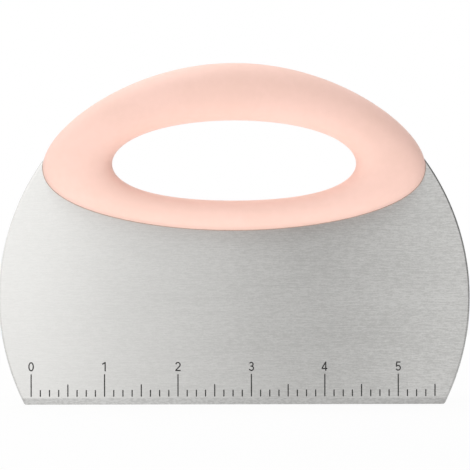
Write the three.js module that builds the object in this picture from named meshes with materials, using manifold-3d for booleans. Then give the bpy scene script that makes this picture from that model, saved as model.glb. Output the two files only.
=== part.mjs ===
// Dough scraper: a stainless blade cut from a disc, with a straight edge ground to a blunt bevel,
// and a loop handle of two shots, a stiff core that locks the tang of the blade and a soft grip over it.
// Millimetres. +X runs along the cutting edge, the front faces -Y, +Z is up.
// The origin is the middle of the cutting edge.

import * as THREE from "three";
import { ParametricGeometry } from "three/addons/geometries/ParametricGeometry.js";
import { mergeVertices } from "three/addons/utils/BufferGeometryUtils.js";
import Module from "manifold-3d";

const wasm = await Module();
wasm.setup();

// Blade: a disc with its foot cut straight, its corners eased and its rim tumbled round
const BLADE_RADIUS = 81.5;
const BLADE_CENTRE_HEIGHT = 37;
const BLADE_THICKNESS = 1.2;
const CORNER_ROUND = 1;
const RIM_ROUND = 0.4;

// Ground edge: the bevel's height on each face, and the flat land left along the foot
const BEVEL_HEIGHT = 2.2;
const EDGE_LAND = 0.3;

// Loop handle seen from the front: heights are above the cutting edge, the tip is where it is widest
const GRIP_HALF_WIDTH = 66.3;
const GRIP_TOP = 118.1;
const GRIP_BOTTOM = 60.2;
const GRIP_TIP = 82.1;
const GRIP_PEAK = 0.8;

// Finger opening, seen from the front: what the loop leaves, how far its tip is above the loop's,
// and its peak, negative because its top and bottom are flattened
const TOP_BAR_HEIGHT = 19.8;
const LOWER_BAR_HEIGHT = 10.2;
const LOBE_WIDTH = 23.9;
const OPENING_TIP_RISE = 1.2;
const OPENING_PEAK = -0.3;
const OPENING_HALF_WIDTH = GRIP_HALF_WIDTH - LOBE_WIDTH;
const OPENING_TOP = GRIP_TOP - TOP_BAR_HEIGHT;
const OPENING_BOTTOM = GRIP_BOTTOM + LOWER_BAR_HEIGHT;
const OPENING_TIP = GRIP_TIP + OPENING_TIP_RISE;

// Loop handle seen from the side: a full top bar that thins down to the blade
const TOP_BAR_THICKNESS = 20;
const LOWER_BAR_THICKNESS = 12;
const SECTION_SQUARENESS = 2.25;

// Two-shot moulding: skin over the core, core left between the tang and the skin, and the fits
const SKIN = 1.6;
const CORE_BRIDGE = 1.2;
const CLEARANCE = 0.3;

// Tang: how far its two ears stand above the opening's tip, and the anchor holes that the core flows
// through, placed by their angle round the loop
const EAR_RISE = 2.8;
const EAR_HOLE_DIAMETER = 8;
const EAR_HOLE_ANGLE = THREE.MathUtils.degToRad(20);
const TANG_HOLE_DIAMETER = 3;
const TANG_HOLE_STEP = THREE.MathUtils.degToRad(22.5);
const TANG_HOLES = 5;

// Finishes
const BRUSHED_STEEL = { color: 0xc6c6c3, roughness: 0.35, metalness: 1 };
const HARD_PLASTIC = { color: 0xe8e4dc, roughness: 0.5, metalness: 0 };
const SOFT_PINK = { color: 0xfad2c6, roughness: 0.6, metalness: 0 };

// Facets
const CORNER_STEPS = 4;
const RIM_STEPS = 48;
const RIM_ROUND_STEPS = 2;
const TANG_STEPS = 18;
const HOLE_STEPS = 16;
const SKIN_LOOP_STEPS = 96;
const SKIN_SECTION_STEPS = 24;
const CORE_LOOP_STEPS = 72;
const CORE_SECTION_STEPS = 16;
const CUT_MARGIN = 2;

const QUARTER = Math.PI / 2;
const GRIP = {
  halfWidth: GRIP_HALF_WIDTH,
  top: GRIP_TOP,
  bottom: GRIP_BOTTOM,
  tip: GRIP_TIP,
  peak: GRIP_PEAK,
};
const OPENING = {
  halfWidth: OPENING_HALF_WIDTH,
  top: OPENING_TOP,
  bottom: OPENING_BOTTOM,
  tip: OPENING_TIP,
  peak: OPENING_PEAK,
};
const TANG_COVER = SKIN + CLEARANCE + CORE_BRIDGE + CLEARANCE;
const EAR_TOP = OPENING_TIP + EAR_RISE;

// Egg-shaped outline as a function of the angle t, x to the right and y up:
// x = w cos t, y = centre + rise sin t + lift cos 2t - peak sin 3t.
// The second term sets the tip height and the third draws the crown up to a soft peak.
function loopOutline({ halfWidth, top, bottom, tip, peak }) {
  const middle = (top + bottom) / 2;
  const lift = (tip - middle) / 2;
  const rise = (top - bottom) / 2 - peak;
  return (t) =>
    new THREE.Vector2(
      halfWidth * Math.cos(t),
      middle + lift + rise * Math.sin(t) + lift * Math.cos(2 * t) - peak * Math.sin(3 * t),
    );
}

function grown(sizes, by) {
  const { halfWidth, top, bottom } = sizes;
  return { ...sizes, halfWidth: halfWidth + by, top: top + by, bottom: bottom - by };
}

// Closed mesh of a geometry as a solid that can be joined and cut
function solid(geometry) {
  geometry.deleteAttribute("normal");
  geometry.deleteAttribute("uv");
  const closed = mergeVertices(geometry);
  const mesh = new wasm.Mesh({
    numProp: 3,
    vertProperties: closed.attributes.position.array,
    triVerts: Uint32Array.from(closed.index.array),
  });
  return new wasm.Manifold(mesh);
}

function namedMesh(name, body, finish) {
  const { vertProperties, triVerts } = body.getMesh();
  const geometry = new THREE.BufferGeometry();
  geometry.setAttribute("position", new THREE.BufferAttribute(vertProperties, 3));
  geometry.setIndex(new THREE.BufferAttribute(triVerts, 1));
  geometry.computeVertexNormals();
  const mesh = new THREE.Mesh(geometry, new THREE.MeshStandardMaterial(finish));
  mesh.name = name;
  return mesh;
}

// Signed power, which turns a circle into a superellipse
function squared(value) {
  return Math.sign(value) * Math.abs(value) ** (2 / SECTION_SQUARENESS);
}

// Loft round the loop. At each angle a superellipse spans from the opening's outline to the outer one,
// and its thickness follows the height of its middle. An inset makes the same form that much smaller.
function loopSolid(inset, loopSteps, sectionSteps) {
  const outer = loopOutline(grown(GRIP, -inset));
  const inner = loopOutline(grown(OPENING, inset));
  const middleAt = (t) => outer(t).add(inner(t)).divideScalar(2);
  const lowest = middleAt(-QUARTER).y;
  const highest = middleAt(QUARTER).y;
  const surface = (u, v, target) => {
    const t = 2 * Math.PI * u;
    const s = -2 * Math.PI * v;
    const middle = middleAt(t);
    const reach = outer(t).sub(inner(t)).multiplyScalar(squared(Math.cos(s)) / 2);
    const height = (middle.y - lowest) / (highest - lowest);
    const thickness = THREE.MathUtils.lerp(LOWER_BAR_THICKNESS, TOP_BAR_THICKNESS, height) - 2 * inset;
    target.set(middle.x + reach.x, (squared(Math.sin(s)) * thickness) / 2, middle.y + reach.y);
  };
  return solid(new ParametricGeometry(surface, loopSteps, sectionSteps));
}

// Anchor holes lie midway between the tang's upper edge and the lower side of the core
function anchorHoles() {
  const tangTop = loopOutline(grown(OPENING, TANG_COVER));
  const coreFoot = loopOutline(grown(GRIP, -SKIN - CLEARANCE));
  const hole = (t, diameter) => ({
    centre: tangTop(t).add(coreFoot(t)).divideScalar(2),
    radius: diameter / 2,
  });
  const ears = [-EAR_HOLE_ANGLE, EAR_HOLE_ANGLE - Math.PI].map((t) => hole(t, EAR_HOLE_DIAMETER));
  const alongTang = Array.from({ length: TANG_HOLES }, (_, i) => {
    const fromMiddle = (i - (TANG_HOLES - 1) / 2) * TANG_HOLE_STEP;
    return hole(fromMiddle - QUARTER, TANG_HOLE_DIAMETER);
  });
  return [...ears, ...alongTang];
}

function arc(x, y, radius, from, to, steps) {
  return new THREE.EllipseCurve(x, y, radius, radius, from, to).getPoints(steps);
}

// Outline of the plate: straight foot, eased corner, round rim up to the ear, and the tang's hollow edge
// under the opening. The right half is drawn and mirrored. A growth moves every edge outwards, so that the
// same outline also cuts the room that the plate needs.
function plateOutline(growth) {
  const cornerX = Math.sqrt((BLADE_RADIUS - CORNER_ROUND) ** 2 - (BLADE_CENTRE_HEIGHT - CORNER_ROUND) ** 2);
  const cornerEnd = Math.atan2(CORNER_ROUND - BLADE_CENTRE_HEIGHT, cornerX);
  const radius = BLADE_RADIUS + growth;
  const earTop = EAR_TOP + growth;
  const rimEnd = Math.asin((earTop - BLADE_CENTRE_HEIGHT) / radius);
  const hollow = loopOutline(grown(OPENING, TANG_COVER - growth));
  const right = [
    ...arc(cornerX, CORNER_ROUND, CORNER_ROUND + growth, -QUARTER, cornerEnd, CORNER_STEPS),
    ...arc(0, BLADE_CENTRE_HEIGHT, radius, cornerEnd, rimEnd, RIM_STEPS).slice(1),
    new THREE.Vector2(hollow(0).x, earTop),
    ...Array.from({ length: TANG_STEPS }, (_, i) => hollow((-QUARTER * i) / TANG_STEPS)),
  ];
  const left = right.map(({ x, y }) => new THREE.Vector2(-x, y)).reverse();
  return new THREE.Shape([...right, hollow(-QUARTER), ...left]);
}

// Flat plate in the XZ plane, centred on Y, with its rim and holes rounded over
function plateSolid(growth, holes, round) {
  const outline = plateOutline(growth);
  outline.holes = holes.map(({ centre, radius }) => {
    return new THREE.Path(arc(centre.x, centre.y, radius - growth, 0, 2 * Math.PI, HOLE_STEPS).slice(1));
  });
  const thickness = BLADE_THICKNESS + 2 * growth;
  const depth = thickness - 2 * round;
  const geometry = new THREE.ExtrudeGeometry(outline, {
    depth,
    bevelEnabled: round > 0,
    bevelThickness: round,
    bevelSize: round,
    bevelOffset: -round,
    bevelSegments: RIM_ROUND_STEPS,
  });
  geometry.translate(0, 0, -depth / 2);
  geometry.rotateX(QUARTER);
  return solid(geometry);
}

// Wedge that the grinding takes off one face along the foot
function bevelWedge(turn) {
  const slope = (BLADE_THICKNESS - EDGE_LAND) / 2 / BEVEL_HEIGHT;
  const faceAt = (height) => EDGE_LAND / 2 + slope * height;
  const outside = BLADE_THICKNESS / 2 + CUT_MARGIN;
  const section = new THREE.Shape();
  section.moveTo(faceAt(-CUT_MARGIN), -CUT_MARGIN);
  section.lineTo(outside, -CUT_MARGIN);
  section.lineTo(outside, BEVEL_HEIGHT + CUT_MARGIN);
  section.lineTo(faceAt(BEVEL_HEIGHT + CUT_MARGIN), BEVEL_HEIGHT + CUT_MARGIN);
  section.closePath();
  const depth = 2 * (BLADE_RADIUS + CUT_MARGIN);
  const geometry = new THREE.ExtrudeGeometry(section, { depth, bevelEnabled: false });
  geometry.translate(0, 0, -depth / 2);
  geometry.rotateX(QUARTER);
  geometry.rotateZ(QUARTER + turn);
  return solid(geometry);
}

function makeBlade(holes) {
  const ground = plateSolid(0, holes, RIM_ROUND).subtract(bevelWedge(0)).subtract(bevelWedge(Math.PI));
  return namedMesh("blade", ground, BRUSHED_STEEL);
}

// Hard core: fills the skin, grips both faces of the tang and runs through its holes as plugs
function makeCore(holes) {
  const core = loopSolid(SKIN + CLEARANCE, CORE_LOOP_STEPS, CORE_SECTION_STEPS);
  const gripping = core.subtract(plateSolid(CLEARANCE, holes, 0));
  return namedMesh("handle_core", gripping, HARD_PLASTIC);
}

// Soft grip: a skin round the core, slit along its lower side where the blade comes out
function makeGrip() {
  const loop = loopSolid(0, SKIN_LOOP_STEPS, SKIN_SECTION_STEPS);
  const room = loopSolid(SKIN, CORE_LOOP_STEPS, CORE_SECTION_STEPS);
  const skin = loop.subtract(room).subtract(plateSolid(CLEARANCE, [], 0));
  return namedMesh("grip", skin, SOFT_PINK);
}

const holes = anchorHoles();
const scraper = new THREE.Group();
scraper.name = "dough_scraper";
scraper.add(makeBlade(holes), makeCore(holes), makeGrip());

export default scraper;
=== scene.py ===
import math

import bpy
import numpy as np
from bpy.props import FloatProperty, FloatVectorProperty, PointerProperty
from bpy.types import Operator, Panel, PropertyGroup
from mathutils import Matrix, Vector


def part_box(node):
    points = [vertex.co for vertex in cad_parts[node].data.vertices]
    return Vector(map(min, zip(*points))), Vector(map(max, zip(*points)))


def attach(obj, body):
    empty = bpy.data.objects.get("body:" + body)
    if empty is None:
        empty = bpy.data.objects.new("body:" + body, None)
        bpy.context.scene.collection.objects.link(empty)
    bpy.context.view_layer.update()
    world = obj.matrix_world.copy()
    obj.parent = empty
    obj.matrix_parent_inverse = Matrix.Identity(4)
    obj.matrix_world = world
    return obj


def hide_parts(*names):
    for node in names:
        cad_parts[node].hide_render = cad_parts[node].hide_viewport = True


bl_info = {
    "name": "Dough Scraper",
    "version": (1, 0, 0),
    "blender": (4, 5, 0),
    "location": "View3D > Sidebar > Scraper",
    "description": "A half-round bench scraper: soft loop grip, brushed blade and its inch rule",
    "category": "Object",
}

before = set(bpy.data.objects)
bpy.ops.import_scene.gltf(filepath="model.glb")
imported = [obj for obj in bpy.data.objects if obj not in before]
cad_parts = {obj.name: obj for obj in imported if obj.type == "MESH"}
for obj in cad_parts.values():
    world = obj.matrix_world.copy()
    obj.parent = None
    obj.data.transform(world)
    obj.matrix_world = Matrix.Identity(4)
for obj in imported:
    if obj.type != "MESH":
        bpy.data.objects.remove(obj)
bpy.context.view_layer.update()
GRIP_LOW, GRIP_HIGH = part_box("grip")
BLADE_LOW, BLADE_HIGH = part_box("blade")

MM = 0.001
INCH = 0.0254
EIGHTHS = 8
TAU = 2 * math.pi
SENSOR_MM = 36

# Soft lights: where each one stands, the point that it faces, and its width and height
GRIP_MIDDLE = (0, 0, 0.09)
SOFT_LIGHTS = {
    "left_strip": ((-0.193, -0.45, 0.2), (-0.193, 0, 0.2), (0.235, 0.4)),
    "front_softbox": ((-0.03, -0.34, 0.67), GRIP_MIDDLE, (0.5, 0.3)),
    "top_softbox": ((-0.2, 0.12, 0.75), GRIP_MIDDLE, (0.7, 0.5)),
    "back_fill": ((0, 0.6, 0.18), GRIP_MIDDLE, (0.5, 0.3)),
    "table_glow": ((0, -0.08, 0.002), (0, -0.08, 1), (0.4, 0.12)),
    "right_strip": ((0.38, 0, 0.14), GRIP_MIDDLE, (0.05, 0.25)),
    "left_card": ((-0.5, -0.15, 0.2), (-0.08, -0.15, 0.2), (0.7, 0.5)),
}
# Lights that shiny surfaces don't mirror, and one that does nothing but be mirrored
NOT_MIRRORED = ("back_fill", "table_glow", "right_strip")
ONLY_MIRRORED = ("left_card",)

# Dark cards: where each one starts and ends on the table, and its height
FLAGS = {
    "near_flag": ((0.012, -0.45), (0.076, -0.45), 0.4),
    "side_flag": ((0.3, -0.55), (0.45, 0.25), 0.7),
}


# Sizes and colours that can be changed


def length(name, description, default):
    return FloatProperty(
        name=name,
        description=description,
        default=default,
        unit="LENGTH",
        subtype="DISTANCE",
        precision=5,
    )


def turn(name, description, degrees):
    return FloatProperty(
        name=name, description=description, default=math.radians(degrees), subtype="ANGLE"
    )


def bounded(name, description, default, low, high):
    return FloatProperty(name=name, description=description, default=default, min=low, max=high)


def share(name, description, default):
    return FloatProperty(
        name=name, description=description, default=default, min=0, max=1, subtype="FACTOR"
    )


def watts(name, description, default):
    return FloatProperty(name=name, description=description, default=default, min=0, unit="POWER")


def colour(name, description, default):
    return FloatVectorProperty(
        name=name, description=description, default=default, size=3, min=0, max=1, subtype="COLOR"
    )


class SCRAPER_PG_grip(PropertyGroup):
    half_width: length("Half width", "From the middle of the loop to its tips", GRIP_HIGH.x)
    top: length("Top", "Height of the crown above the cutting edge", GRIP_HIGH.z)
    bottom: length("Bottom", "Height of the lower side above the cutting edge", GRIP_LOW.z)
    tip: length("Tips", "Height at which the loop is widest", 82.1 * MM)
    peak: length("Peak", "How far the crown is drawn up to a soft peak", 0.8 * MM)
    top_bar: length("Top bar", "Height of the bar over the finger opening", 19.8 * MM)
    lower_bar: length("Lower bar", "Height of the bar under the finger opening", 10.2 * MM)
    lobe: length("Lobes", "Width of the loop beside the finger opening", 23.9 * MM)
    opening_rise: length("Opening tips", "How far the opening's tips are above the loop's", 1.2 * MM)
    opening_peak: length("Opening peak", "Negative where its top and bottom are flattened", -0.3 * MM)
    top_thickness: length("Top thickness", "Depth of the top bar", GRIP_HIGH.y - GRIP_LOW.y)
    lower_thickness: length("Lower thickness", "Depth of the lower bar", 12 * MM)
    squareness: bounded("Squareness", "Exponent of the section, 2 for an ellipse", 2.25, 2, 4)
    seam_height: length("Seam height", "How far the mould's parting line stands up", 0.05 * MM)
    seam_width: length("Seam width", "Half width of the mould's parting line", 0.16 * MM)
    # The bead is a thin dark line that paints the contact shadow where the grip meets the steel
    bead: length("Bead", "Radius of the fine bead of skin pressed out along the blade", 0.2 * MM)
    bead_reach: turn("Bead's reach", "How far round the loop the bead runs past the tips", 4.5)
    colour: colour("Colour", "Soft pink of the moulding", (0.945, 0.63, 0.545))
    deep_colour: colour("Deep colour", "Slightly deeper pink that clouds it", (0.91, 0.605, 0.515))
    # Painted shadow: the bead's two dark colours stand in for the contact shadow along the blade,
    # mottled into darker patches
    bead_shadow_colour: colour("Bead's colour", "Darkened skin of the bead", (0.47, 0.31, 0.245))
    bead_shadow_patches: colour("Bead's shade", "Darker patches of the bead", (0.3995, 0.2635, 0.20825))


class SCRAPER_PG_blade(PropertyGroup):
    steel: colour("Steel", "Brushed face of the blade", (0.636, 0.632, 0.618))
    groove: colour("Grooves", "Steel in the grooves of the brushing", (0.507, 0.504, 0.49))
    # The ground bevel's colours are darker partly for its coarser grind and partly as painted shade,
    # standing in for the darker reflection that the down-tilted bevel catches
    ground: colour("Ground edge", "Steel of the ground bevel", (0.578, 0.576, 0.565))
    scored: colour("Scored edge", "Steel in the scores of the ground bevel", (0.481, 0.478, 0.468))
    bevel_height: length("Bevel", "Height of the ground bevel above the edge", 2.2 * MM)
    bevel_blur: length("Bevel's blur", "Half width of the line where the bevel starts", 0.05 * MM)
    groove_depth: length("Groove depth", "Depth of the brushing", 0.0004 * MM)
    centre: length("Centre", "Height of the disc's centre above the edge", 37 * MM)
    rim: length("Rim", "Width of the tumbled rim", 0.8 * MM)
    rim_fall: length("Rim's fall", "How far the tumbled rim falls away from the face", 0.19 * MM)


class SCRAPER_PG_core(PropertyGroup):
    plastic: colour("Plastic", "Hard plastic under the soft skin", (0.81, 0.78, 0.72))
    flow: colour("Flow", "Slightly darker streaks where it flowed", (0.7695, 0.741, 0.684))


class SCRAPER_PG_rule(PropertyGroup):
    zero: length("Zero", "Where the rule starts along the edge", -70.35 * MM)
    inches: bounded("Inches", "How many inches the rule has", 5.5, 1, 5.875)
    foot: length("Foot", "Height of the marks' lower ends above the edge", 2.7 * MM)
    inch_mark: length("Inch mark", "Length of a mark at a whole inch", 7.9 * MM)
    half_mark: length("Half mark", "Length of a mark at half an inch", 4.35 * MM)
    eighth_mark: length("Eighth mark", "Length of the other marks", 2.45 * MM)
    mark_width: length("Mark width", "Width of every mark", 0.42 * MM)
    figure_foot: length("Figure foot", "Height of the figures' lower ends above the edge", 11.55 * MM)
    figure_height: length("Figure height", "Height of the figures", 3.2 * MM)
    figure_stroke: length("Figure stroke", "Width of the figures' strokes", 0.43 * MM)
    proud: length("Relief", "How far the etched marks stand off the steel", 0.02 * MM)
    depth: length("Depth", "How far the etched marks reach into the steel", 0.05 * MM)
    ink: colour("Ink", "Dark oxide of the etched marks", (0.012, 0.0118, 0.0115))
    worn: colour("Worn ink", "Where the oxide is thinner", (0.034, 0.0335, 0.0325))


class SCRAPER_PG_stage(PropertyGroup):
    distance: length("Camera distance", "From the camera to the blade", 0.9)
    view_width: length("View width", "What the camera sees across, at the blade", 162.7 * MM)
    aim_side: length("Aim, sideways", "Where the camera looks, along the edge", 0.28 * MM)
    aim_height: length("Aim, height", "Where the camera looks, above the edge", 58.6 * MM)
    roll: turn("Roll", "Turn of the camera", 0.12)
    floor: colour("Floor", "Pale table", (0.86, 0.86, 0.855))
    ambient: share("Ambient", "Light from all round", 0.57)
    backlit: share("White floor", "How much of the floor is plain white where it is seen", 0.92)
    left_strip: watts("Left strip", "Strip beside the camera that the blade mirrors at its left", 0.347)
    front_softbox: watts("Front", "Soft light high in front of the tool", 1.04)
    top_softbox: watts("Top", "Soft light high over the tool, at the left", 2.15)
    back_fill: watts("Back", "Soft light low behind the tool", 0.9)
    table_glow: watts("Table glow", "What the pale table throws up at the tool", 0.156)
    right_strip: watts("Right strip", "Narrow soft light in line with the blade, at the right", 0.16)
    left_card: watts("Left card", "White card that only the rim of the blade mirrors", 1.1)
    flag: colour("Flags", "Dark cards that shade the tool from the right", (0.16, 0.16, 0.16))


# Shader trees


class Wire:
    """One socket of a shader tree. Arithmetic on wires adds Math nodes to the tree."""

    def __init__(self, tree, socket=None):
        self.tree = tree
        self.socket = socket

    def __getitem__(self, name):
        return Wire(self.tree, self.socket.node.outputs[name])

    def node(self, kind, settings=None, sockets=None, output=0):
        """Adds a node: its settings are set first, then each socket gets its value or link."""
        node = self.tree.nodes.new(kind)
        for name, value in (settings or {}).items():
            setattr(node, name, value)
        for name, value in (sockets or {}).items():
            if isinstance(value, Wire):
                self.tree.links.new(value.socket, node.inputs[name])
            else:
                node.inputs[name].default_value = value
        return Wire(self.tree, node.outputs[output]) if len(node.outputs) else node

    def math(self, operation, *values, clamp=False):
        settings = {"operation": operation, "use_clamp": clamp}
        return self.node("ShaderNodeMath", settings, dict(enumerate(values)))

    def __add__(self, other):
        return self.math("ADD", self, other)

    def __radd__(self, other):
        return self.math("ADD", other, self)

    def __sub__(self, other):
        return self.math("SUBTRACT", self, other)

    def __rsub__(self, other):
        return self.math("SUBTRACT", other, self)

    def __mul__(self, other):
        return self.math("MULTIPLY", self, other)

    def __rmul__(self, other):
        return self.math("MULTIPLY", other, self)

    def step(self, low, high):
        """Smooth step from 0 at low to 1 at high."""
        settings = {"interpolation_type": "SMOOTHSTEP"}
        sockets = {"Value": self, "From Min": low, "From Max": high}
        return self.node("ShaderNodeMapRange", settings, sockets)

    def blend(self, first, second):
        """Colour that goes from the first to the second as this value goes from 0 to 1."""
        ends = (first, second)
        first, second = (end if isinstance(end, Wire) else (*end, 1) for end in ends)
        settings = {"data_type": "RGBA", "clamp_factor": True}
        return self.node("ShaderNodeMix", settings, {0: self, 6: first, 7: second}, output=2)

    def noise(self, scale, detail=2.0, roughness=0.5):
        """Noise on this vector, with its scale along each axis in cells a metre."""
        stretch = {"Vector": self, "Scale": scale}
        stretched = self.node("ShaderNodeMapping", {"vector_type": "POINT"}, stretch)
        sockets = {"Vector": stretched, "Scale": 1.0, "Detail": detail, "Roughness": roughness}
        return self.node("ShaderNodeTexNoise", None, sockets)


def new_material(name):
    """An empty material, and its object coordinates to draw a finish on."""
    material = bpy.data.materials.new(name)
    material.use_nodes = True
    material.node_tree.nodes.clear()
    place = Wire(material.node_tree).node("ShaderNodeTexCoord")["Object"]
    return material, place


def put_surface(shader, kind="ShaderNodeOutputMaterial"):
    shader.node(kind, None, {"Surface": shader})


def soft_pink(settings):
    """Soft moulded skin: pale pink with faint clouds, and a fine mould texture that keeps it matt."""
    material, place = new_material("soft_pink")
    clouds = place.noise((45, 45, 45), detail=3)
    mottle = place.noise((420, 420, 420), detail=2)
    texture = place.noise((3600, 3600, 3600), detail=1)
    tone = (clouds * 0.7 + mottle * 0.3).step(0.35, 0.65)
    base = tone.blend(settings.colour, settings.deep_colour)
    roughness = 0.56 + mottle * 0.06 + texture * 0.05
    normal = place.node(
        "ShaderNodeBump", None, {"Strength": 0.35, "Distance": 0.015 * MM, "Height": texture}
    )
    put_surface(
        place.node(
            "ShaderNodeBsdfPrincipled",
            None,
            {"Base Color": base, "Roughness": roughness, "Normal": normal, "Sheen Weight": 0.12},
        )
    )
    return material


def pressed_skin(settings):
    """Painted shadow on the beads: dark brownish skin colour, mottled into darker patches, that stands
    in for the contact shadow where the grip meets the steel.
    """
    material, place = new_material("pressed_skin")
    mottle = place.noise((900, 900, 900), detail=2)
    base = mottle.step(0.3, 0.7).blend(settings.bead_shadow_colour, settings.bead_shadow_patches)
    roughness = 0.5 + mottle * 0.2
    put_surface(
        place.node("ShaderNodeBsdfPrincipled", None, {"Base Color": base, "Roughness": roughness})
    )
    return material


def brushed_steel(settings):
    """Brushed stainless: short fine grooves along the edge, long hairlines and a coarser ground bevel.

    The brushing bites deeper towards the right. The bump holds the brushing and the fall of the
    tumbled rim, which grows over the last part of the radius.
    """
    material, place = new_material("brushed_steel")
    along = place.node("ShaderNodeSeparateXYZ", None, {"Vector": place})
    bevel, blur = settings.bevel_height, settings.bevel_blur
    ground = 1 - along["Z"].step(bevel - blur, bevel + blur)
    grooves = place.noise((430, 430, 2700), detail=3, roughness=0.6)
    flecks = place.noise((1500, 1500, 2900), detail=1)
    hairs = place.noise((30, 300, 5200), detail=2)
    clouds = place.noise((28, 28, 70), detail=2)
    grind = place.noise((900, 900, 2000), detail=2)
    bite = 0.28 + 0.95 * along["X"].step(BLADE_LOW.x, BLADE_HIGH.x)
    brushing = grooves * 0.45 + flecks * 0.25 + hairs * 0.2 + clouds * 0.1
    streak = 0.5 + bite * (brushing.step(0.38, 0.62) - 0.5)
    face = streak.blend(settings.groove, settings.steel)
    # The bevel's darker colours are partly its coarser grind and partly painted shade for its darker
    # reflection
    edge = grind.step(0.36, 0.64).blend(settings.scored, settings.ground)
    base = ground.blend(face, edge)
    roughness = 0.34 + 0.04 * clouds + 0.06 * ground
    ends = {0: place, 1: (0, 0, settings.centre)}
    radius = place.node("ShaderNodeVectorMath", {"operation": "DISTANCE"}, ends, output=1)
    worn = radius.step(BLADE_HIGH.x - settings.rim, BLADE_HIGH.x + settings.rim)
    brushed = (grooves * 0.6 + hairs * 0.4) * (settings.groove_depth / MM)
    relief = brushed - worn * (2 * settings.rim_fall / MM)
    normal = place.node("ShaderNodeBump", None, {"Strength": 1.0, "Distance": MM, "Height": relief})
    put_surface(
        place.node(
            "ShaderNodeBsdfPrincipled",
            None,
            {
                "Base Color": base,
                "Metallic": 1.0,
                "Roughness": roughness,
                "Normal": normal,
                "Anisotropic": 0.9,
                "Anisotropic Rotation": 0.25,
            },
        )
    )
    return material


def hard_plastic(settings):
    """Hard core plastic, natural white with faint flow clouds."""
    material, place = new_material("hard_plastic")
    flow = place.noise((60, 60, 160), detail=3)
    base = flow.step(0.3, 0.7).blend(settings.flow, settings.plastic)
    roughness = 0.42 + flow * 0.16
    put_surface(
        place.node("ShaderNodeBsdfPrincipled", None, {"Base Color": base, "Roughness": roughness})
    )
    return material


def etched_ink(settings):
    """Dark oxide of an etched mark, thinner in specks where the steel shows through."""
    material, place = new_material("etched_ink")
    specks = place.noise((2600, 2600, 2600), detail=2)
    base = specks.step(0.4, 0.75).blend(settings.ink, settings.worn)
    roughness = 0.5 + specks * 0.15
    put_surface(
        place.node("ShaderNodeBsdfPrincipled", None, {"Base Color": base, "Roughness": roughness})
    )
    return material


# Meshes from arrays


def mesh_object(name, points, *faces, smooth=False):
    """Object of a mesh. Each array of faces has a row of corner numbers for every face."""
    mesh = bpy.data.meshes.new(name)
    points = np.asarray(points, dtype=np.float32).reshape(-1, 3)
    corners = np.concatenate([part.ravel() for part in faces]).astype(np.int32)
    sizes = np.concatenate([np.full(len(part), part.shape[1]) for part in faces])
    starts = (np.cumsum(sizes) - sizes).astype(np.int32)
    mesh.vertices.add(len(points))
    mesh.vertices.foreach_set("co", points.ravel())
    mesh.loops.add(len(corners))
    mesh.loops.foreach_set("vertex_index", corners)
    mesh.polygons.add(len(starts))
    mesh.polygons.foreach_set("loop_start", starts)
    mesh.update(calc_edges=True)
    if mesh.validate():
        raise RuntimeError(f"{name} has faces that don't hold together")
    if smooth:
        mesh.shade_smooth()
    made = bpy.data.objects.new(name, mesh)
    bpy.context.collection.objects.link(made)
    return made


def grid_faces(rows, columns, close_rows):
    """Quads of a grid that is closed across its columns, and round its rows too if asked."""
    row = np.arange(rows if close_rows else rows - 1)[:, None]
    column = np.arange(columns)[None, :]
    here, there = row * columns, (row + 1) % rows * columns
    after = (column + 1) % columns
    quads = np.stack([here + column, here + after, there + after, there + column], axis=-1)
    return quads.reshape(-1, 4)


def egg_outline(t, half_width, top, bottom, tip, peak):
    """Egg-shaped outline at the angles t: its x and its height.

    x = half_width cos t, and the height is middle + lift + rise sin t + lift cos 2t - peak sin 3t.
    The lift sets the height of the tips, and the peak draws the crown up to a soft peak.
    """
    middle = (top + bottom) / 2
    lift = (tip - middle) / 2
    rise = (top - bottom) / 2 - peak
    height = middle + lift + rise * np.sin(t) + lift * np.cos(2 * t) - peak * np.sin(3 * t)
    return np.stack([half_width * np.cos(t), height], axis=-1)


def outer_outline(settings, t):
    """Outside of the loop at the angles t."""
    return egg_outline(
        t, settings.half_width, settings.top, settings.bottom, settings.tip, settings.peak
    )


def opening_outline(settings, t):
    """Edge of the finger opening at the angles t."""
    return egg_outline(
        t,
        settings.half_width - settings.lobe,
        settings.top - settings.top_bar,
        settings.bottom + settings.lower_bar,
        settings.tip + settings.opening_rise,
        settings.opening_peak,
    )


def signed_power(value, power):
    return np.sign(value) * np.abs(value) ** power


def loop_grip(settings, round_steps=448, section_steps=144, crowding=0.46):
    """Closed loft round the finger opening, over the angles t round the loop and s round its section.

    A superellipse spans from the opening's outline to the outer one. With k = 2 / squareness, a point
    is middle(t) + reach(t) * cos(s)^k in the XZ plane and thickness / 2 * sin(s)^k along Y. The
    thickness grows with the height of the middle. Near s = 0 and half a turn, where the two halves of
    the mould met, a bell curve of the depth lifts a fine parting line. The steps of s crowd together
    there.
    """
    t = np.linspace(0, TAU, round_steps, endpoint=False)[:, None]
    u = np.linspace(0, TAU, section_steps, endpoint=False)[None, :]
    s = u - crowding * np.sin(2 * u)
    outer = outer_outline(settings, t)
    inner = opening_outline(settings, t)
    middle = (outer + inner) / 2
    lowest = settings.bottom + settings.lower_bar / 2
    highest = settings.top - settings.top_bar / 2
    level = (middle[..., 1] - lowest) / (highest - lowest)
    growth = settings.top_thickness - settings.lower_thickness
    thickness = settings.lower_thickness + growth * level
    power = 2 / settings.squareness
    across = signed_power(np.cos(s), power)
    depth = thickness / 2 * signed_power(np.sin(s), power)
    reach = (outer - inner) / 2
    size = np.linalg.norm(reach, axis=-1)
    seam = settings.seam_height * np.exp(-((depth / settings.seam_width) ** 2)) * np.sign(across)
    plane = middle + reach * (across + seam / size)[..., None]
    points = np.stack([plane[..., 0], depth, plane[..., 1]], axis=-1)
    faces = grid_faces(round_steps, section_steps, close_rows=True)
    return mesh_object("soft_grip", points, faces, smooth=True)


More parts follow.
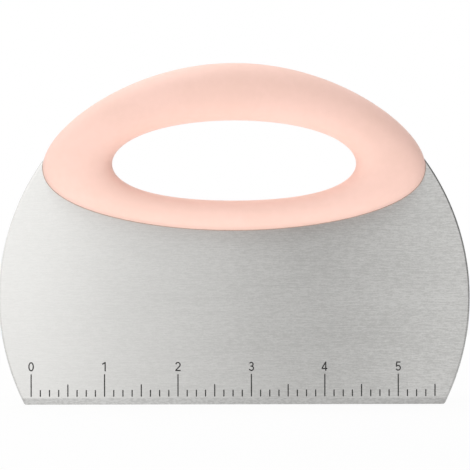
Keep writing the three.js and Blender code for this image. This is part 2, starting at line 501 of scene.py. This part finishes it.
def seat_beads(settings, path_steps=240, section_steps=12):
    """Fine dark beads along both faces of the blade, where the grip meets the steel, that paint the
    contact shadow line there.

    A circle is carried along the loop's outer outline, from past one tip under the loop to past the
    other. At the angle s it reaches radius * cos(s) out of the outline and radius * sin(s) out of the
    face of the blade.
    """
    t = np.linspace(-math.pi - settings.bead_reach, settings.bead_reach, path_steps)
    outline = outer_outline(settings, t)
    along = np.gradient(outline, axis=0)
    along /= np.linalg.norm(along, axis=-1, keepdims=True)
    outwards = np.stack([along[:, 1], -along[:, 0]], axis=-1)
    s = np.linspace(0, TAU, section_steps, endpoint=False)
    plane = outline[:, None] + settings.bead * np.cos(s)[:, None] * outwards[:, None]
    rise = np.broadcast_to(settings.bead * np.sin(s), plane.shape[:-1])
    front = np.stack([plane[..., 0], BLADE_LOW.y - rise, plane[..., 1]], axis=-1)
    back = np.stack([plane[..., 0], BLADE_HIGH.y + rise, plane[..., 1]], axis=-1)
    walls = grid_faces(path_steps, section_steps, close_rows=False)
    ring = np.arange(section_steps)[None]
    ends = np.concatenate([ring[:, ::-1], ring + (path_steps - 1) * section_steps])
    used = path_steps * section_steps
    faces = [walls[:, ::-1], ends[:, ::-1], walls + used, ends + used]
    return mesh_object("seat_beads", np.concatenate([front, back]), *faces, smooth=True)


def front_of(settings):
    """Depths of the etched marks: their outer face, and where they end in the steel."""
    return BLADE_LOW.y - settings.proud, BLADE_LOW.y + settings.depth


def rule_marks(settings, end_steps=5):
    """Marks of the rule, an eighth of an inch apart: slabs with round ends, all as one array.

    An outline is a half circle at the head and one at the foot: the angle's cosine gives x, and its
    sine gives z above the head's or below the foot's centre. Whole inches, halves and the rest each
    have their length.
    """
    count = round(settings.inches * EIGHTHS) + 1
    number = np.arange(count)
    lengths = np.select(
        [number % EIGHTHS == 0, number % (EIGHTHS // 2) == 0],
        [settings.inch_mark, settings.half_mark],
        settings.eighth_mark,
    )
    radius = settings.mark_width / 2
    half = np.linspace(0, math.pi, end_steps)
    angle = np.concatenate([half, half + math.pi])
    at_head = np.repeat([1, 0], end_steps)
    x = settings.zero + number[:, None] * INCH / EIGHTHS + radius * np.cos(angle)
    ends = settings.foot + radius + at_head * (lengths[:, None] - 2 * radius)
    z = ends + radius * np.sin(angle)
    outline = np.stack([x, z], axis=-1)
    front, back = front_of(settings)
    flat = np.broadcast_to(outline[:, None], (count, 2, *outline.shape[1:]))
    depth = np.broadcast_to(np.array([front, back])[None, :, None], flat.shape[:-1])
    points = np.stack([flat[..., 0], depth, flat[..., 1]], axis=-1)
    sides = 2 * end_steps
    first = (np.arange(count) * 2 * sides)[:, None]
    here = np.arange(sides)
    after = (here + 1) % sides
    wall = np.stack([here, sides + here, sides + after, after], axis=-1)
    walls = (first[..., None] + wall).reshape(-1, 4)
    caps = np.concatenate([first + here, first + sides + here[::-1]])
    return mesh_object("rule_marks", points, walls, caps)


def arc(x, z, wide, high, start, end, steps=24):
    """Stroke along an ellipse about a centre, from one angle to another in degrees."""
    angle = np.radians(np.linspace(start, end, steps))
    return np.stack([x + wide * np.cos(angle), z + high * np.sin(angle)], axis=-1)


def bar(x, z, to_x, to_z):
    """Straight stroke from one point to another."""
    return np.array([[x, z], [to_x, to_z]])


# Strokes of the plain figures, in heights of a figure, with x from its middle
FIGURES = (
    (arc(0, 0.5, 0.235, 0.433, 0, 360, 49),),
    (bar(0.07, 0, 0.07, 1), bar(0.1, 0.97, -0.24, 0.75)),
    (
        arc(0, 0.69, 0.23, 0.243, 170, -38),
        bar(0.19, 0.55, -0.22, 0.1),
        bar(-0.28, 0.067, 0.29, 0.067),
    ),
    (
        arc(-0.01, 0.725, 0.19, 0.208, 155, -90),
        arc(-0.01, 0.3, 0.235, 0.233, 90, -160),
        bar(-0.1, 0.525, 0.03, 0.525),
    ),
    (bar(0.11, 0.99, -0.3, 0.27), bar(-0.35, 0.25, 0.27, 0.25), bar(0.1, 0, 0.1, 1)),
    (
        bar(-0.18, 0.933, 0.24, 0.933),
        bar(-0.15, 0.98, -0.2, 0.46),
        arc(-0.01, 0.315, 0.235, 0.248, 150, -155),
    ),
)


def stroke_slab(path, width, front, back):
    """Corners and faces of a flat slab along a path: half its width to each side, with square ends."""
    along = np.gradient(path, axis=0)
    closed = np.allclose(path[0], path[-1])
    if closed:
        along[0] = along[-1] = path[1] - path[-2]
    along /= np.linalg.norm(along, axis=-1, keepdims=True)
    side = width / 2 * np.stack([-along[:, 1], along[:, 0]], axis=-1)
    edges = np.stack([path + side, path - side, path - side, path + side], axis=1)
    depth = np.broadcast_to(np.array([front, front, back, back]), edges.shape[:-1])
    points = np.stack([edges[..., 0], depth, edges[..., 1]], axis=-1)
    if closed:
        points = points[:-1]
    rows = len(points)
    faces = grid_faces(rows, 4, close_rows=closed)
    if not closed:
        last = 4 * (rows - 1)
        faces = np.concatenate([faces, [[3, 2, 1, 0]], [[last, last + 1, last + 2, last + 3]]])
    return points.reshape(-1, 3), faces


def rule_figures(settings, layer_lift=0.1):
    """Figures over the whole inches, each stroke a slab that lies a hair over the one before it."""
    front, back = front_of(settings)
    points, faces, used = [], [], 0
    for inch in range(math.floor(settings.inches) + 1):
        place = np.array([settings.zero + inch * INCH, settings.figure_foot])
        for layer, stroke in enumerate(FIGURES[inch]):
            outer = front - layer * layer_lift * settings.proud
            path = place + stroke * settings.figure_height
            corners, quads = stroke_slab(path, settings.figure_stroke, outer, back)
            points.append(corners)
            faces.append(quads + used)
            used += len(corners)
    return mesh_object("rule_figures", np.concatenate(points), np.concatenate(faces))


# Table, lights and camera


def seen_plainly(tree):
    """1 for a ray from the camera or off a shiny surface, so that these see the plain white studio."""
    path = Wire(tree).node("ShaderNodeLightPath")
    seen = path["Is Camera Ray"] + path["Is Glossy Ray"]
    return seen.math("ADD", seen, path["Is Transmission Ray"], clamp=True)


def lay_floor(settings, half_side=3.0):
    """Pale table under the cutting edge, which keeps a faint shadow."""
    corners = np.array([[-1, -1, 0], [1, -1, 0], [1, 1, 0], [-1, 1, 0]]) * half_side
    floor = mesh_object("table", corners + [0, 0, BLADE_LOW.z], np.array([[0, 1, 2, 3]]))
    material, place = new_material("pale_table")
    lit = place.node("ShaderNodeBsdfDiffuse", None, {"Color": (*settings.floor, 1)})
    white = place.node("ShaderNodeEmission", None, {"Color": (1, 1, 1, 1), "Strength": 1.0})
    amount = seen_plainly(material.node_tree) * settings.backlit
    put_surface(place.node("ShaderNodeMixShader", None, {0: amount, 1: lit, 2: white}))
    floor.data.materials.append(material)


def hang_flag(name, start, end, height, shade):
    """Dark card on the table from one place to another, which the camera itself doesn't see."""
    foot = np.array([[*start, 0], [*end, 0]])
    corners = np.concatenate([foot, foot[::-1] + [0, 0, height]])
    flag = mesh_object(name, corners, np.array([[0, 1, 2, 3]]))
    material, place = new_material(name)
    put_surface(place.node("ShaderNodeBsdfDiffuse", None, {"Color": (*shade, 1)}))
    flag.data.materials.append(material)
    flag.visible_camera = False


def light_world(scene, settings):
    """Even white studio: full white where it is seen, and a plain part of it as light."""
    world = bpy.data.worlds.new("white_studio")
    world.use_nodes = True
    world.node_tree.nodes.clear()
    strength = settings.ambient + (1 - settings.ambient) * seen_plainly(world.node_tree)
    light = strength.node("ShaderNodeBackground", None, {"Color": (1, 1, 1, 1), "Strength": strength})
    put_surface(light, "ShaderNodeOutputWorld")
    scene.world = world


def soft_light(name, place, target, size, power):
    """Rectangular soft light that faces a point, mirrored or not as the lists of lights say."""
    lamp = bpy.data.lights.new(name, "AREA")
    lamp.shape = "RECTANGLE"
    lamp.size, lamp.size_y = size
    lamp.energy = power
    made = bpy.data.objects.new(name, lamp)
    made.location = place
    made.visible_glossy = name not in NOT_MIRRORED
    made.visible_diffuse = name not in ONLY_MIRRORED
    made.rotation_euler = (Vector(target) - Vector(place)).to_track_quat("-Z", "Y").to_euler()
    bpy.context.collection.objects.link(made)


def set_camera(scene, settings):
    """Long lens straight at the front, wide enough for the blade to fill the square frame."""
    camera = bpy.data.cameras.new("camera")
    camera.sensor_width = SENSOR_MM
    camera.lens = SENSOR_MM * settings.distance / settings.view_width
    camera.clip_start = 10 * MM
    made = bpy.data.objects.new("camera", camera)
    made.location = (settings.aim_side, -settings.distance, settings.aim_height)
    made.rotation_euler = (math.pi / 2, settings.roll, 0)
    scene.collection.objects.link(made)
    scene.camera = made


# Operators, one for each piece or group of like pieces, and one for the stage


def dress_node(name, material):
    """Gives a carried-over node one material."""
    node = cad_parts[name]
    node.data.materials.clear()
    node.data.materials.append(material)


def mount(piece, material):
    """Puts a finished piece on the tool's one body, with its material and finish slot."""
    piece.data.materials.append(material)
    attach(piece, "root")


class SCRAPER_OT_blade(Operator):
    """Finish the blade as brushed stainless with a ground edge"""

    bl_idname = "scraper.blade"
    bl_label = "Finish the blade"

    def execute(self, context):
        dress_node("blade", brushed_steel(context.scene.scraper_blade))
        return {"FINISHED"}


class SCRAPER_OT_core(Operator):
    """Finish the hard core that locks the tang inside the grip"""

    bl_idname = "scraper.core"
    bl_label = "Finish the core"

    def execute(self, context):
        dress_node("handle_core", hard_plastic(context.scene.scraper_core))
        return {"FINISHED"}


class SCRAPER_OT_grip(Operator):
    """Make the soft loop grip in place of the plain solid"""

    bl_idname = "scraper.grip"
    bl_label = "Make the grip"

    def execute(self, context):
        settings = context.scene.scraper_grip
        grip = loop_grip(settings)
        mount(grip, soft_pink(settings))
        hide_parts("grip")
        # The beads paint the contact shadow where the grip meets the blade
        mount(seat_beads(settings), pressed_skin(settings))
        return {"FINISHED"}


class SCRAPER_OT_rule(Operator):
    """Etch the inch rule, its marks and its figures, into the front of the blade"""

    bl_idname = "scraper.rule"
    bl_label = "Etch the rule"

    def execute(self, context):
        settings = context.scene.scraper_rule
        ink = etched_ink(settings)
        mount(rule_marks(settings), ink)
        mount(rule_figures(settings), ink)
        return {"FINISHED"}


class SCRAPER_OT_stage(Operator):
    """Set up the pale table, the soft lights and the camera"""

    bl_idname = "scraper.stage"
    bl_label = "Set the stage"

    def execute(self, context):
        settings = context.scene.scraper_stage
        lay_floor(settings)
        light_world(context.scene, settings)
        for name, (place, target, size) in SOFT_LIGHTS.items():
            soft_light(name, place, target, size, getattr(settings, name))
        for name, (start, end, height) in FLAGS.items():
            hang_flag(name, start, end, height, settings.flag)
        set_camera(context.scene, settings)
        context.scene.view_settings.view_transform = "Standard"
        return {"FINISHED"}


class SCRAPER_PT_sidebar(Panel):
    """Sizes, finishes and steps of the dough scraper"""

    bl_idname = "SCRAPER_PT_sidebar"
    bl_label = "Dough Scraper"
    bl_space_type = "VIEW_3D"
    bl_region_type = "UI"
    bl_category = "Scraper"

    def draw(self, context):
        for step, group in STEPS:
            box = self.layout.box()
            box.operator(step)
            settings = getattr(context.scene, group)
            for name in settings.__annotations__:
                box.prop(settings, name)


STEPS = (
    ("scraper.blade", "scraper_blade"),
    ("scraper.core", "scraper_core"),
    ("scraper.grip", "scraper_grip"),
    ("scraper.rule", "scraper_rule"),
    ("scraper.stage", "scraper_stage"),
)
GROUPS = {
    "scraper_blade": SCRAPER_PG_blade,
    "scraper_core": SCRAPER_PG_core,
    "scraper_grip": SCRAPER_PG_grip,
    "scraper_rule": SCRAPER_PG_rule,
    "scraper_stage": SCRAPER_PG_stage,
}
CLASSES = (
    *GROUPS.values(),
    SCRAPER_OT_blade,
    SCRAPER_OT_core,
    SCRAPER_OT_grip,
    SCRAPER_OT_rule,
    SCRAPER_OT_stage,
    SCRAPER_PT_sidebar,
)


def register():
    for made in CLASSES:
        bpy.utils.register_class(made)
    for name, group in GROUPS.items():
        setattr(bpy.types.Scene, name, PointerProperty(type=group))


def unregister():
    for name in GROUPS:
        delattr(bpy.types.Scene, name)
    for made in reversed(CLASSES):
        bpy.utils.unregister_class(made)


def main():
    register()
    bpy.ops.scraper.blade()
    bpy.ops.scraper.core()
    bpy.ops.scraper.grip()
    bpy.ops.scraper.rule()
    bpy.ops.scraper.stage()


if __name__ == "__main__":
    main()
